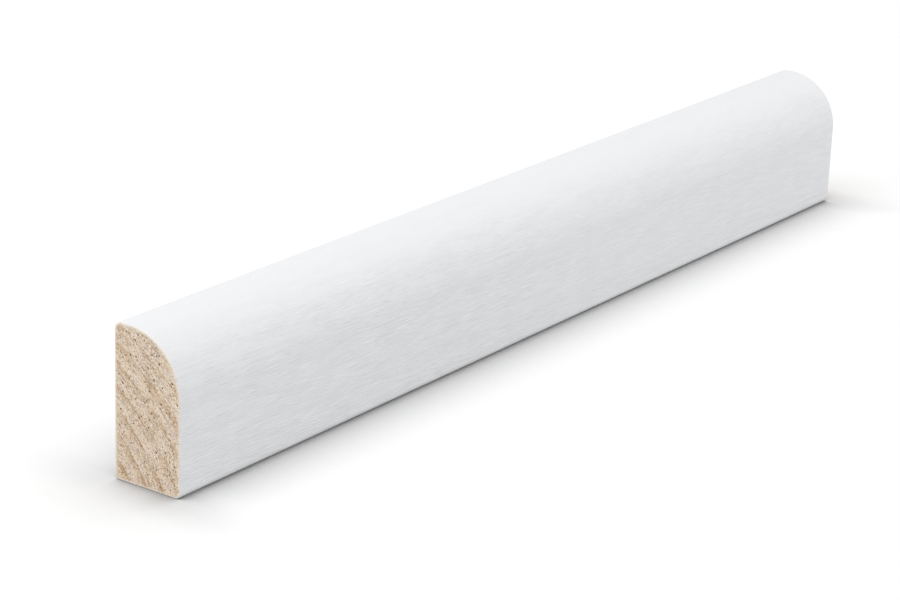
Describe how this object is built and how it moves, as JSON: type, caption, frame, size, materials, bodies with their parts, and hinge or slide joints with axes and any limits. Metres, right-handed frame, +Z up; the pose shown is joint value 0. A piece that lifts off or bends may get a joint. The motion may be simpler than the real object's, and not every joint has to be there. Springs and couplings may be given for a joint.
{
  "type": "shoe moulding",
  "caption": "Short straight length of shoe moulding, a slim primed pine trim with a quarter-round bead over a flat front, raw at its square saw cuts.",
  "frame": {"origin": "middle of the foot, on the floor plane", "axes": "+X along the stick and the wall, +Y from the painted front towards the wall, +Z up"},
  "size_m": [0.15, 0.0098, 0.0191],
  "materials": {
    "primed_pine": "matt white primer on the milled faces, raw pine end grain at the saw cuts"
  },
  "bodies": {
    "root": {"shoe_moulding": "primed_pine"}
  },
  "joints": []
}
